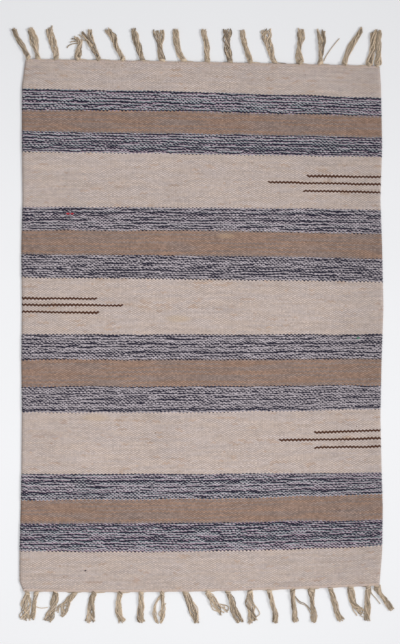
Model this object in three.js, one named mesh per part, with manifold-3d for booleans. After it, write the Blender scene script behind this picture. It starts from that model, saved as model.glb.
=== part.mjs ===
// A small flat-woven cotton rug lying flat, with a row of knotted warp tassels at both ends.
// Millimetres, +Z up. The origin is the middle of the cloth, on its flat underside.
// +X runs along the weft to the right selvedge, +Y along the warp to the top end.
import * as THREE from 'three';
import { mergeVertices } from 'three/addons/utils/BufferGeometryUtils.js';
import Module from 'manifold-3d';

const wasm = await Module();
wasm.setup();

// Driving dimensions
const RUG_WIDTH = 600;
const CLOTH_THICKNESS = 4;        // over the plain ecru fields
const STRIPE_RISE = 0.5;          // how much prouder the thick marled yarn lies
const RIDGE_RISE = 0.7;           // the locking pick along each cloth end
const RIDGE_WIDTH = 3;
const STEP_WIDTH = 1.5;           // slope between a thin band and a thick one
const EDGE_DROP = 1.2;            // the cloth thins to its rounded selvedges and ends
const SELVEDGE_WIDTH = 3;
const COLUMNS = 14;               // grid across the cloth, selvedge to selvedge
const PIECE_GAP = 0.3;

const KNOT = { width: 9.2, length: 7.5, height: 5.6, sides: 8, rings: 5, sunk: 0.25 };
const YARN = { rootWidth: 1.0, tipWidth: 1.5, height: 2.2, rootPitch: 1.3, steps: 3 };
const TIP_VARIATION = 3;          // how unevenly one tassel's yarns end

// The cloth's bands from the bottom end to the top end. Each row gives where the band's upper
// edge crosses the left selvedge, the middle and the right selvedge, and what it is woven of.
const BOTTOM_END = { left: -440, middle: -440, right: -430 };
const BANDS = [
  { left: -376, middle: -376, right: -367, yarn: 'ecru' },
  { left: -329, middle: -328, right: -323, yarn: 'marled' },
  { left: -291, middle: -289, right: -281, yarn: 'tan' },
  { left: -247, middle: -247, right: -244, yarn: 'marled' },
  { left: -145, middle: -145, right: -139, yarn: 'ecru' },
  { left: -102, middle: -101, right: -99, yarn: 'marled' },
  { left: -58, middle: -57, right: -56, yarn: 'tan' },
  { left: -14, middle: -15, right: -14, yarn: 'marled' },
  { left: 80, middle: 76, right: 73, yarn: 'ecru' },
  { left: 118, middle: 116, right: 111, yarn: 'marled' },
  { left: 158, middle: 157, right: 152, yarn: 'tan' },
  { left: 197, middle: 196, right: 192, yarn: 'marled' },
  { left: 288, middle: 285, right: 280, yarn: 'ecru' },
  { left: 324, middle: 319, right: 313, yarn: 'marled' },
  { left: 359, middle: 355, right: 348, yarn: 'tan' },
  { left: 395, middle: 388, right: 379, yarn: 'marled' },
  { left: 443, middle: 438, right: 431, yarn: 'ecru' },
];

// How far each selvedge stands in or out of its straight line, at places along the cloth
const SELVEDGES = [
  { along: -441, left: 2, right: -5 },
  { along: -425, left: -4, right: -4 },
  { along: -375, left: -4, right: 0 },
  { along: -300, left: -2, right: 1 },
  { along: -240, left: -1, right: -1 },
  { along: -150, left: 0, right: -3 },
  { along: -60, left: -1, right: -1 },
  { along: 30, left: 0, right: 2 },
  { along: 130, left: -1, right: 0 },
  { along: 210, left: 1, right: -3 },
  { along: 300, left: 0, right: 0 },
  { along: 400, left: 0, right: -2 },
  { along: 444, left: 6, right: -5 },
];

// The tassels from left to right. root and tip are places along X, reach is how far the tassel
// lies out from the cloth, bow how far its middle stands to the right of a straight line.
const TOP_TASSELS = [
  { root: -289, tip: -312, reach: 49, bow: 1, yarns: 5, spread: 8 },
  { root: -274, tip: -286, reach: 50, bow: 1, yarns: 6, spread: 11 },
  { root: -243, tip: -255, reach: 51, bow: 3, yarns: 6, spread: 11 },
  { root: -208, tip: -213, reach: 42, bow: 4, yarns: 7, spread: 17 },
  { root: -172, tip: -194, reach: 49, bow: 1, yarns: 7, spread: 13 },
  { root: -133, tip: -157, reach: 51, bow: 0, yarns: 5, spread: 9 },
  { root: -100, tip: -115, reach: 52, bow: 0, yarns: 7, spread: 13 },
  { root: -65, tip: -73, reach: 52, bow: -1, yarns: 5, spread: 9 },
  { root: -30, tip: -42, reach: 52, bow: 1, yarns: 6, spread: 11 },
  { root: 7, tip: 5, reach: 53, bow: -1, yarns: 6, spread: 10 },
  { root: 45, tip: 42, reach: 54, bow: 1, yarns: 5, spread: 9 },
  { root: 82, tip: 68, reach: 53, bow: 0, yarns: 6, spread: 11 },
  { root: 122, tip: 107, reach: 55, bow: 1, yarns: 6, spread: 10 },
  { root: 163, tip: 165, reach: 56, bow: -3, yarns: 6, spread: 10 },
  { root: 198, tip: 198, reach: 57, bow: 0, yarns: 7, spread: 13 },
  { root: 238, tip: 265, reach: 57, bow: -2, yarns: 5, spread: 9 },
  { root: 274, tip: 279, reach: 36, bow: 0, yarns: 5, spread: 8 },
  { root: 291, tip: 297, reach: 59, bow: 1, yarns: 7, spread: 13 },
];
const BOTTOM_TASSELS = [
  { root: -290, tip: -297, reach: 47, bow: -2, yarns: 7, spread: 12 },
  { root: -275, tip: -281, reach: 45, bow: 0, yarns: 5, spread: 8 },
  { root: -243, tip: -255, reach: 49, bow: 4, yarns: 6, spread: 11 },
  { root: -211, tip: -235, reach: 38, bow: 1, yarns: 7, spread: 13 },
  { root: -178, tip: -183, reach: 50, bow: -3, yarns: 7, spread: 13 },
  { root: -136, tip: -135, reach: 50, bow: -2, yarns: 6, spread: 11 },
  { root: -101, tip: -101, reach: 50, bow: -1, yarns: 5, spread: 9 },
  { root: -66, tip: -73, reach: 51, bow: -4, yarns: 6, spread: 12 },
  { root: -27, tip: -9, reach: 51, bow: -1, yarns: 6, spread: 10 },
  { root: 9, tip: 37, reach: 37, bow: 1, yarns: 7, spread: 15 },
  { root: 45, tip: 62, reach: 52, bow: 0, yarns: 6, spread: 10 },
  { root: 80, tip: 83, reach: 53, bow: 2, yarns: 5, spread: 9 },
  { root: 112, tip: 121, reach: 54, bow: 1, yarns: 6, spread: 10 },
  { root: 152, tip: 158, reach: 54, bow: -1, yarns: 7, spread: 12 },
  { root: 182, tip: 186, reach: 55, bow: 0, yarns: 5, spread: 9 },
  { root: 214, tip: 232, reach: 55, bow: 1, yarns: 5, spread: 9 },
  { root: 247, tip: 259, reach: 51, bow: -1, yarns: 7, spread: 12 },
  { root: 278, tip: 276, reach: 57, bow: 0, yarns: 5, spread: 8 },
  { root: 292, tip: 312, reach: 40, bow: 2, yarns: 5, spread: 8 },
];

const clothFinish = new THREE.MeshStandardMaterial({ color: 0xb6a79f, roughness: 0.95, metalness: 0 });
const tasselFinish = new THREE.MeshStandardMaterial({ color: 0xb39c80, roughness: 0.95, metalness: 0 });

// Where a line across the cloth lies at x: it bends gently at the middle of the rug
function lineAt(line, x) {
  const share = x / (RUG_WIDTH / 2);
  const slope = (line.right - line.left) / 2;
  const sag = (line.right + line.left) / 2 - line.middle;
  return line.middle + slope * share + sag * share * share;
}

// How far the selvedges wander at a place along the cloth
function selvedgeAt(along, side) {
  const next = SELVEDGES.findIndex((place, index) => index > 0 && place.along >= along);
  const upper = SELVEDGES[next < 0 ? SELVEDGES.length - 1 : next];
  const lower = SELVEDGES[(next < 0 ? SELVEDGES.length - 1 : next) - 1];
  const share = THREE.MathUtils.smoothstep(along, lower.along, upper.along);
  return THREE.MathUtils.lerp(lower[side], upper[side], share);
}

// A line across the cloth, moved along the warp
function movedLine(line, distance) {
  return { left: line.left + distance, middle: line.middle + distance, right: line.right + distance };
}

// The lines that the cloth's grid follows, each with its height: two beside each change of yarn
function clothLines() {
  const lines = [];
  const topEnd = BANDS[BANDS.length - 1];
  let lower = BOTTOM_END;
  for (const band of BANDS) {
    const height = CLOTH_THICKNESS + (band.yarn === 'marled' ? STRIPE_RISE : 0);
    const start = lower === BOTTOM_END ? RIDGE_WIDTH : STEP_WIDTH / 2;
    const end = band === topEnd ? RIDGE_WIDTH : STEP_WIDTH / 2;
    lines.push({ ...movedLine(lower, start), height });
    lines.push({ ...movedLine(band, -end), height });
    lower = band;
  }
  const ridge = CLOTH_THICKNESS + RIDGE_RISE;
  lines.unshift({ ...movedLine(BOTTOM_END, RIDGE_WIDTH / 2), height: ridge });
  lines.unshift({ ...BOTTOM_END, height: CLOTH_THICKNESS - EDGE_DROP });
  lines.push({ ...movedLine(topEnd, -RIDGE_WIDTH / 2), height: ridge });
  lines.push({ ...topEnd, height: CLOTH_THICKNESS - EDGE_DROP });
  return lines;
}

// Places of the grid's columns across the cloth, with one close to each selvedge
function columnPlaces() {
  const half = RUG_WIDTH / 2;
  const inner = half - SELVEDGE_WIDTH;
  const places = [-half];
  for (let column = 0; column <= COLUMNS; column += 1) {
    places.push(THREE.MathUtils.lerp(-inner, inner, column / COLUMNS));
  }
  places.push(half);
  return places;
}

// The point of the cloth at a place across it, on a line along it
function clothPoint(x, line) {
  const along = lineAt(line, x);
  const side = x < 0 ? 'left' : 'right';
  const share = Math.abs(x) / (RUG_WIDTH / 2);
  return { x: x + selvedgeAt(along, side) * share ** 4, y: along };
}

function vertexOnly(geometry) {
  geometry.deleteAttribute('normal');
  geometry.deleteAttribute('uv');
  return mergeVertices(geometry, 1e-4);
}

// The cloth: a fine grid box whose corners are moved to the rug's outline and heights
function clothGeometry() {
  const lines = clothLines();
  const columns = columnPlaces();
  const across = columns.length - 1;
  const along = lines.length - 1;
  const grid = new THREE.BoxGeometry(across, along, 1, across, along, 1);
  const corners = grid.getAttribute('position');
  for (let index = 0; index < corners.count; index += 1) {
    const column = Math.round(corners.getX(index) + across / 2);
    const line = lines[Math.round(corners.getY(index) + along / 2)];
    const place = clothPoint(columns[column], line);
    const atSelvedge = column === 0 || column === across;
    const height = atSelvedge ? CLOTH_THICKNESS - EDGE_DROP : line.height;
    corners.setXYZ(index, place.x, place.y, corners.getZ(index) > 0 ? height : 0);
  }
  return vertexOnly(grid);
}

function toSolid(geometry) {
  const vertProperties = new Float32Array(geometry.getAttribute('position').array);
  const triVerts = new Uint32Array(geometry.getIndex().array);
  return new wasm.Manifold(new wasm.Mesh({ numProp: 3, vertProperties, triVerts }));
}

function toGeometry(solid) {
  const { vertProperties, triVerts } = solid.getMesh();
  const geometry = new THREE.BufferGeometry();
  geometry.setAttribute('position', new THREE.BufferAttribute(vertProperties, 3));
  geometry.setIndex(new THREE.BufferAttribute(triVerts, 1));
  return geometry;
}

// The knot: a lumpy bead of yarn that lies on the floor on a flat base
function knotGeometry(centre, direction) {
  const bead = new THREE.SphereGeometry(0.5, KNOT.sides, KNOT.rings);
  bead.rotateX(Math.PI / 2);
  bead.scale(KNOT.width, KNOT.length, KNOT.height);
  bead.rotateZ(direction - Math.PI / 2);
  const middle = KNOT.height * (0.5 - KNOT.sunk);
  const corners = bead.getAttribute('position');
  for (let index = 0; index < corners.count; index += 1) {
    corners.setZ(index, Math.max(0, corners.getZ(index) + middle));
  }
  bead.translate(centre.x, centre.y, 0);
  return vertexOnly(bead);
}

// One three-sided yarn of a tassel, flat on the floor. rank counts from the middle yarn.
function yarnGeometry(path, rank, tipPitch, length) {
  const yarn = new THREE.CylinderGeometry(1, 1, 1, 3, YARN.steps);
  const corners = yarn.getAttribute('position');
  for (let index = 0; index < corners.count; index += 1) {
    const share = (corners.getY(index) + 0.5) * length;
    const point = path.getPoint(share);
    const ahead = path.getTangent(share);
    const pitch = THREE.MathUtils.lerp(YARN.rootPitch, tipPitch, share);
    const width = THREE.MathUtils.lerp(YARN.rootWidth, YARN.tipWidth, share);
    const offset = rank * pitch + corners.getX(index) / Math.sqrt(3) * width;
    const height = (corners.getZ(index) + 0.5) / 1.5 * YARN.height;
    corners.setXYZ(index, point.x + ahead.y * offset, point.y - ahead.x * offset, height);
  }
  return vertexOnly(yarn);
}

// A tassel: its yarns are fused into the knot at their roots and stand apart from there on.
// end is +1 at the top of the cloth and -1 at the bottom.
function tasselSolid(tassel, endLine, end) {
  const edge = lineAt(endLine, tassel.root);
  const root = new THREE.Vector2(tassel.root, edge + end * (PIECE_GAP + KNOT.length / 2));
  const tip = new THREE.Vector2(tassel.tip, edge + end * tassel.reach);
  const middle = root.clone().lerp(tip, 0.5).add(new THREE.Vector2(2 * tassel.bow, 0));
  const path = new THREE.QuadraticBezierCurve(root, middle, tip);
  let solid = toSolid(knotGeometry(root, path.getTangent(0).angle()));
  const tipPitch = (tassel.spread - YARN.tipWidth) / (tassel.yarns - 1);
  for (let yarn = 0; yarn < tassel.yarns; yarn += 1) {
    const rank = yarn - (tassel.yarns - 1) / 2;
    const shortfall = TIP_VARIATION * (0.5 + 0.5 * Math.sin(2.4 * yarn + tassel.root));
    const length = 1 - shortfall / tassel.reach;
    solid = solid.add(toSolid(yarnGeometry(path, rank, tipPitch, length)));
  }
  return toGeometry(solid);
}

function named(name, geometry, finish) {
  const mesh = new THREE.Mesh(geometry, finish.clone());
  mesh.name = name;
  return mesh;
}

const rug = new THREE.Group();
rug.add(named('rug', clothGeometry(), clothFinish));
TOP_TASSELS.forEach((tassel, index) => {
  const name = `tassel_top_${String(index + 1).padStart(2, '0')}`;
  rug.add(named(name, tasselSolid(tassel, BANDS[BANDS.length - 1], 1), tasselFinish));
});
BOTTOM_TASSELS.forEach((tassel, index) => {
  const name = `tassel_bottom_${String(index + 1).padStart(2, '0')}`;
  rug.add(named(name, tasselSolid(tassel, BOTTOM_END, -1), tasselFinish));
});

export default rug;
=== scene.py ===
"""A small striped flat-woven cotton rug with knotted warp tassels, laid on a pale floor."""

import math

import bpy
import numpy as np
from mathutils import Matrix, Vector, noise


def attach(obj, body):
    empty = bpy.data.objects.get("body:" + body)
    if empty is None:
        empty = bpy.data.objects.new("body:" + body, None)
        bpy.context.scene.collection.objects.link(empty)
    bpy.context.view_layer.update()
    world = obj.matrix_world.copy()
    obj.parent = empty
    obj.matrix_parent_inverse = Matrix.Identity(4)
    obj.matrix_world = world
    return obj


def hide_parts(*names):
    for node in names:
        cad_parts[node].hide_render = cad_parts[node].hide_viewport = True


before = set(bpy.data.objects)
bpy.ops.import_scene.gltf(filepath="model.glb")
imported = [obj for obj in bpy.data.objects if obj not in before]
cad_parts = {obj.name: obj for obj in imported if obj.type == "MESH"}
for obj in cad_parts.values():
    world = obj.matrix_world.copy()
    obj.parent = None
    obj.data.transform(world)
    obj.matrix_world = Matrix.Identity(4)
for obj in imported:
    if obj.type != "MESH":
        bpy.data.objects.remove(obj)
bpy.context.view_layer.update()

bl_info = {
    "name": "Striped Kilim Rug",
    "version": (1, 0, 0),
    "blender": (4, 5, 0),
    "location": "3D View > Sidebar > Kilim Rug",
    "description": "Weaves a striped cotton flat-weave rug and knots its warp tassels",
    "category": "Object",
}

MM = 0.001


def table(columns, *rows):
    """Rows of values under column names given once."""
    names = columns.split()
    return tuple(dict(zip(names, row)) for row in rows)


# The cloth's bands from the bottom end to the top end, in millimetres along the warp. Each row
# says where the band's upper edge crosses the left selvedge, the middle and the right selvedge,
# what it is woven of, and how strongly a marled band is tinted: teal lies above the navy ply and
# rose below it, or the other way round below zero.
BOTTOM_END = {"left": -440, "middle": -440, "right": -430}
BANDS = table(
    "left middle right yarn tint",
    (-376, -376, -367, "ecru", 0.0),
    (-329, -328, -323, "marled", -0.6),
    (-291, -289, -281, "tan", 0.0),
    (-247, -247, -244, "marled", -0.5),
    (-145, -145, -139, "ecru", 0.0),
    (-102, -101, -99, "marled", -0.1),
    (-58, -57, -56, "tan", 0.0),
    (-14, -15, -14, "marled", 0.1),
    (80, 76, 73, "ecru", 0.0),
    (118, 116, 111, "marled", 0.2),
    (158, 157, 152, "tan", 0.0),
    (197, 196, 192, "marled", 0.35),
    (288, 285, 280, "ecru", 0.0),
    (324, 319, 313, "marled", 0.55),
    (359, 355, 348, "tan", 0.0),
    (395, 388, 379, "marled", 0.6),
    (443, 438, 431, "ecru", 0.0),
)

# How far each selvedge stands in or out of its straight line, in millimetres
SELVEDGES = table(
    "along left right",
    (-441, 2, -5),
    (-425, -4, -4),
    (-375, -4, 0),
    (-300, -2, 1),
    (-240, -1, -1),
    (-150, 0, -3),
    (-60, -1, -1),
    (30, 0, 2),
    (130, -1, 0),
    (210, 1, -3),
    (300, 0, 0),
    (400, 0, -2),
    (444, 6, -5),
)

# The brown inlaid lines: each lies two picks thick at a height along the warp, and runs from
# the place given to the selvedge named.
INLAYS = table(
    "along start side",
    (252, 174, "right"),
    (240, 110, "right"),
    (227, 168, "right"),
    (43, -175, "left"),
    (33, -130, "left"),
    (21, -173, "left"),
    (-180, 186, "right"),
    (-192, 127, "right"),
    (-205, 187, "right"),
)

# Neps, coloured flecks and soft stains, in millimetres: wide and deep are half of each size
STAIN = (0.50, 0.37, 0.24)
RED_FLECK = (0.45, 0.02, 0.03)
DARK_NEP = (0.12, 0.08, 0.06)
SPOTS = table(
    "x y wide deep strength colour",
    (-194, -407, 2.3, 1.7, 1.0, (0.05, 0.03, 0.04)),
    (-230, -418, 1.7, 1.2, 0.8, (0.14, 0.1, 0.08)),
    (-78, -178, 1.7, 1.2, 0.8, DARK_NEP),
    (257, -167, 1.6, 1.2, 0.8, DARK_NEP),
    (172, 418, 1.5, 1.2, 0.8, (0.13, 0.09, 0.08)),
    (-48, 424, 1.5, 1.2, 0.5, (0.2, 0.13, 0.1)),
    (-223, 187, 3.9, 1.9, 1.0, RED_FLECK),
    (-216, 187, 3.6, 1.8, 1.0, RED_FLECK),
    (260, -20, 4.0, 1.8, 0.8, (0.05, 0.22, 0.12)),
    (-40, 12, 26, 8, 0.4, STAIN),
    (-178, -152, 30, 8, 0.35, STAIN),
    (40, 150, 18, 6, 0.3, STAIN),
)

# The tassels from left to right, in millimetres. root and tip are places along X, reach is how
# far the tassel lies out from the cloth, bow how far its middle stands to the right. gap and fork
# are how far its two halves part at the middle and at the tip, curl the radius of its curled ends.
TASSEL_COLUMNS = "root tip reach bow spread gap fork curl"
TOP_TASSELS = table(
    TASSEL_COLUMNS,
    (-289, -313, 51, 1, 8, 0, 0, 0),
    (-273, -287, 52, 1, 11, 0, 0, 0),
    (-243, -257, 53, 3, 12, 0, 0, 0),
    (-208, -207, 42, 3, 9, 0, 0, -8),
    (-172, -194, 50, 0, 10, 3, 8, 0),
    (-131, -157, 53, 0, 8, 0, 0, 0),
    (-99, -116, 54, 0, 13, 0, 0, 0),
    (-66, -73, 54, -1, 19, 0, 0, 0),
    (-30, -43, 54, -5, 14, 0, 0, 0),
    (9, 5, 55, 0, 14, 0, 0, 0),
    (47, 41, 56, -1, 14, 0, 0, 0),
    (81, 67, 55, -1, 11, 0, 0, 0),
    (121, 106, 57, -2, 13, 0, 0, 0),
    (164, 167, 58, -4, 10, 0, 0, 0),
    (197, 198, 59, 0, 13, 3, 5, 0),
    (237, 267, 60, -5, 8, 0, 0, 0),
    (278, 285, 57, 2, 9, 0, 0, 0),
    (293, 293, 61, 1, 12, 0, 0, 0),
)
BOTTOM_TASSELS = table(
    TASSEL_COLUMNS,
    (-291, -295, 49, 0, 20, 0, 0, 0),
    (-276, -284, 47, 0, 9, 0, 0, 0),
    (-244, -257, 50, 3, 14, 0, 0, 0),
    (-212, -238, 38, 0, 16, 1, 0, 2),
    (-180, -184, 51, -3, 14, 0, 0, 0),
    (-136, -135, 52, -4, 12, 0, 0, 0),
    (-101, -102, 52, -1, 9, 0, 0, 0),
    (-66, -71, 53, -4, 10, 17, 1, 0),
    (-28, -8, 53, 1, 13, 0, 0, 0),
    (9, 33, 41, 1, 24, 3, 2, 3),
    (43, 62, 54, 0, 14, 3, 2, 0),
    (80, 86, 55, -2, 14, 0, 0, 0),
    (112, 122, 56, 1, 8, 0, 0, 0),
    (151, 157, 56, -1, 9, 0, 0, 0),
    (182, 187, 57, 0, 9, 0, 0, 0),
    (214, 231, 57, -1, 10, 0, 0, 0),
    (247, 260, 52, -1, 12, 0, 0, 4),
    (277, 275, 58, 0, 7, 0, 0, 0),
    (291, 313, 42, 0, 7, 0, 0, 0),
)

# Single yarns that have slipped out of their tassel, by points given in millimetres
STRAYS = table(
    "tassel points",
    ("top_05", ((-174, 455), (-183, 466), (-192, 474), (-200, 477), (-205, 474))),
    ("top_15", ((203, 441), (206, 448), (213, 459), (223, 472), (229, 479))),
    ("bottom_02", ((-279, -461), (-277, -467), (-268, -470), (-257, -469))),
    ("bottom_08", ((-60, -462), (-66, -470), (-72, -480), (-66, -487))),
    ("bottom_12", ((86, -462), (93, -472), (96, -480), (88, -486))),
    ("bottom_14", ((156, -452), (162, -461), (173, -466), (179, -475), (183, -484))),
    ("bottom_14", ((155, -450), (163, -459), (172, -463), (181, -473), (185, -482))),
    ("bottom_17", ((256, -462), (262, -467), (268, -474), (263, -480), (258, -474))),
    ("bottom_17", ((258, -466), (266, -470), (272, -477), (270, -485), (263, -482))),
    ("bottom_18", ((279, -437), (283, -446), (290, -454), (297, -463))),
)


def binary(operation, reflected=False):
    """An operator between two values, as a Math node. Reflected, the field is on its right."""
    if reflected:
        return lambda self, other: self.math(operation, other, self)
    return lambda self, other: self.math(operation, self, other)


def unary(operation):
    """A function of one value, as a Math node."""
    return lambda self: self.math(operation, self)


class Field:
    """A socket of a shader or geometry tree. Arithmetic on it adds Math nodes."""

    def __init__(self, tree, socket):
        self.tree = tree
        self.socket = socket

    def math(self, operation, *values):
        sockets = dict(enumerate(values))
        return add_node(self.tree, "ShaderNodeMath", {"operation": operation}, sockets)[0]

    __add__ = binary("ADD")
    __radd__ = binary("ADD", reflected=True)
    __sub__ = binary("SUBTRACT")
    __rsub__ = binary("SUBTRACT", reflected=True)
    __mul__ = binary("MULTIPLY")
    __rmul__ = binary("MULTIPLY", reflected=True)
    __truediv__ = binary("DIVIDE")
    __mod__ = binary("FLOORED_MODULO")
    __pow__ = binary("POWER")
    __gt__ = binary("GREATER_THAN")
    __lt__ = binary("LESS_THAN")
    __abs__ = unary("ABSOLUTE")
    round = unary("ROUND")
    floor = unary("FLOOR")
    cosine = unary("COSINE")
    sine = unary("SINE")

    def root(self):
        return self.math("SQRT", self.math("MAXIMUM", self, 0.0))

    def rise(self, low, high):
        """0 below low, 1 above high and a smooth slope between them."""
        ends = {"Value": self, "From Min": low, "From Max": high}
        return add_node(self.tree, "ShaderNodeMapRange", {"interpolation_type": "SMOOTHSTEP"}, ends)[0]


class Outputs:
    """The output sockets of a node, by name or number, as fields."""

    def __init__(self, tree, node):
        self.tree = tree
        self.node = node

    def __getitem__(self, name):
        return Field(self.tree, self.node.outputs[name])


def add_node(tree, kind, settings=None, sockets=None):
    """Adds a node, makes its settings, then fills or links its sockets."""
    node = tree.nodes.new(kind)
    for name, value in (settings or {}).items():
        setattr(node, name, value)
    for name, value in (sockets or {}).items():
        if isinstance(value, Field):
            tree.links.new(value.socket, node.inputs[name])
        else:
            node.inputs[name].default_value = value
    return Outputs(tree, node)


MIX_FACTOR, MIX_A, MIX_B, MIX_RESULT = 0, 6, 7, 2


def tree_of(*values):
    """The tree that the fields among some values belong to."""
    return next(value.tree for value in values if isinstance(value, Field))


def mixed(factor, first, second, blend="MIX"):
    """Two colours mixed by a factor."""
    tree = tree_of(factor, first, second)
    settings = {"data_type": "RGBA", "blend_type": blend}
    sockets = {MIX_FACTOR: factor, MIX_A: opaque(first), MIX_B: opaque(second)}
    return add_node(tree, "ShaderNodeMix", settings, sockets)[MIX_RESULT]


def opaque(colour):
    return colour if isinstance(colour, Field) else (*colour[:3], 1.0)


def grey(level):
    """A grey colour of a varying level, to multiply another colour by."""
    return add_node(level.tree, "ShaderNodeCombineColor", sockets={0: level, 1: level, 2: level})[0]


def tinted(colour, tint):
    """A colour multiplied by another one, or by a varying level of grey."""
    tint = grey(tint) if isinstance(tint, Field) else tint
    return mixed(1.0, colour, tint, "MULTIPLY")


def vector(x, y, z):
    return add_node(tree_of(x, y, z), "ShaderNodeCombineXYZ", sockets={0: x, 1: y, 2: z})[0]


def parts_of(field):
    """The three numbers of a vector."""
    split = add_node(field.tree, "ShaderNodeSeparateXYZ", sockets={0: field})
    return split[0], split[1], split[2]


def vector_math(operation, first, second):
    """Vector Math on two vectors, or on a vector and the number that scales it."""
    sockets = {0: first, "Scale" if operation == "SCALE" else 1: second}
    return add_node(first.tree, "ShaderNodeVectorMath", {"operation": operation}, sockets)["Vector"]


def cloud(x, y, z, detail=1.0):
    """Smooth noise from 0 to 1, that changes over one unit of its place."""
    sockets = {"Vector": vector(x, y, z), "Scale": 1.0, "Detail": detail}
    return add_node(tree_of(x, y, z), "ShaderNodeTexNoise", sockets=sockets)["Fac"]


def chance(x, y, z):
    """An even random number from 0 to 1 for each place."""
    sockets = {"Vector": vector(x, y, z)}
    return add_node(tree_of(x, y, z), "ShaderNodeTexWhiteNoise", sockets=sockets)["Value"]


def speckle(tree, scale, detail):
    """Noise over the piece's own coordinates, with a grain of a metre divided by scale."""
    place = add_node(tree, "ShaderNodeTexCoord")["Object"]
    sockets = {"Vector": place, "Scale": scale, "Detail": detail}
    return add_node(tree, "ShaderNodeTexNoise", sockets=sockets)["Fac"]


def new_material(name):
    material = bpy.data.materials.new(name)
    material.use_nodes = True
    material.node_tree.nodes.clear()
    return material


def finish_material(material, constants, varying):
    """The surface shader: constants sit on its sockets, varying values are linked to them."""
    tree = material.node_tree
    shader = add_node(tree, "ShaderNodeBsdfPrincipled", sockets={**constants, **varying})
    add_node(tree, "ShaderNodeOutputMaterial", sockets={"Surface": shader["BSDF"]})
    return material


def bumped(height, depth):
    """The normal over a relief whose height of 1 stands depth metres proud."""
    sockets = {"Strength": 1.0, "Distance": depth, "Height": height}
    return add_node(height.tree, "ShaderNodeBump", sockets=sockets)["Normal"]


COTTON = {"Specular IOR Level": 0.18, "Sheen Weight": 0.12, "Sheen Roughness": 0.6}


def a_length(name, description, default):
    """A property that holds a length in metres."""
    return bpy.props.FloatProperty(name=name, description=description, default=default, unit="LENGTH")


def a_colour(name, description, default):
    """A property that holds a colour."""
    return bpy.props.FloatVectorProperty(
        name=name, description=description, default=default, subtype="COLOR"
    )


class RugSizes(bpy.types.PropertyGroup):
    cloth_width: a_length("Cloth Width", "Selvedge to selvedge", 0.600)
    cloth_thickness: a_length("Cloth Thickness", "Over the ecru fields", 0.0039)
    warps: bpy.props.IntProperty(
        name="Warps", description="Warp ends across the cloth", default=194
    )
    fine_pick: a_length("Fine Pick", "Pick spacing in ecru and tan", 0.00167)
    thick_pick: a_length("Thick Pick", "Pick spacing in marled bands", 0.0025)
    fine_relief: a_length("Fine Relief", "Rise of a float in ecru and tan", 0.0004)
    thick_relief: a_length("Thick Relief", "Rise of a float in marled bands", 0.0006)
    yarn_radius: a_length("Yarn Radius", "Radius of a whole warp yarn", 0.00085)
    yarn_turn: a_length("Yarn Turn", "Length of one turn of the ply twist", 0.007)
    cord_radius: a_length("Cord Radius", "Radius of the twined locking cord", 0.00135)
    yarns: bpy.props.IntProperty(
        name="Yarns", description="Warp yarns that show in one tassel", default=11
    )


class RugColours(bpy.types.PropertyGroup):
    ecru: a_colour("Ecru", "Undyed weft", (0.492, 0.414, 0.386))
    tan: a_colour("Tan", "Tan weft", (0.282, 0.188, 0.147))
    marl_light: a_colour("Marl Light", "Pale ply of the marl", (0.395, 0.352, 0.375))
    marl_dark: a_colour("Marl Dark", "Navy ply of the marl", (0.011, 0.009, 0.025))
    teal: a_colour("Teal", "Teal fleck of the marl", (0.18, 0.34, 0.36))
    rose: a_colour("Rose", "Rose fleck of the marl", (0.43, 0.23, 0.36))
    brown: a_colour("Brown", "Inlaid lines", (0.074, 0.026, 0.012))
    warp: a_colour("Warp", "Warp yarn of the tassels", (0.542, 0.432, 0.314))
    cord: a_colour("Cord", "Cord at the cloth's ends", (0.605, 0.487, 0.418))
    floor: a_colour("Floor", "Pale floor", (0.80, 0.80, 0.81))


# Places in the cloth

CROSSINGS = ("left", "middle", "right")


def half_of(sizes):
    """Half the cloth's width in millimetres."""
    return sizes.cloth_width / MM / 2


def line_at(line, x, half_width):
    """Where a line across the cloth lies at x: it bends gently at the middle of the rug."""
    share = x / half_width
    slope = (line["right"] - line["left"]) / 2
    sag = (line["right"] + line["left"]) / 2 - line["middle"]
    return line["middle"] + slope * share + sag * share * share


def between(lower, upper, share):
    return {side: lower[side] + (upper[side] - lower[side]) * share for side in CROSSINGS}


def pick_table(sizes):
    """For each line between two picks, from the bottom end up: where it lies and what is woven."""
    lines = [dict(BOTTOM_END, yarn="ecru")]
    lower = BOTTOM_END
    for band in BANDS:
        pitch = sizes.thick_pick if band["yarn"] == "marled" else sizes.fine_pick
        picks = round((band["middle"] - lower["middle"]) * MM / pitch)
        for pick in range(1, picks + 1):
            lines.append(dict(between(lower, band, pick / picks), yarn=band["yarn"]))
        lower = band
    return lines


def band_starts(picks):
    """The pick at which each band after the first begins."""
    return [pick - 0.5 for pick in range(1, len(picks)) if picks[pick]["yarn"] != picks[pick - 1]["yarn"]]


def pick_at(picks, along):
    """The number of the pick that lies at a height in the middle of the cloth, in millimetres."""
    return min(range(len(picks)), key=lambda pick: abs(picks[pick]["middle"] - along))


def selvedge_shift(along, side):
    """How far a selvedge wanders from its straight line at places along the cloth, in millimetres."""
    places = [row["along"] for row in SELVEDGES]
    return np.interp(along, places, [row[side] for row in SELVEDGES])


def drift(x, y, wide, deep, seed):
    """Smooth noise from -1 to 1 at each place. wide and deep are its sizes across and along."""
    spots = zip(np.ravel(x) / wide, np.ravel(y) / deep)
    return np.array([noise.noise(Vector((a, b, seed))) for a, b in spots]).reshape(np.shape(x))


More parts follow.
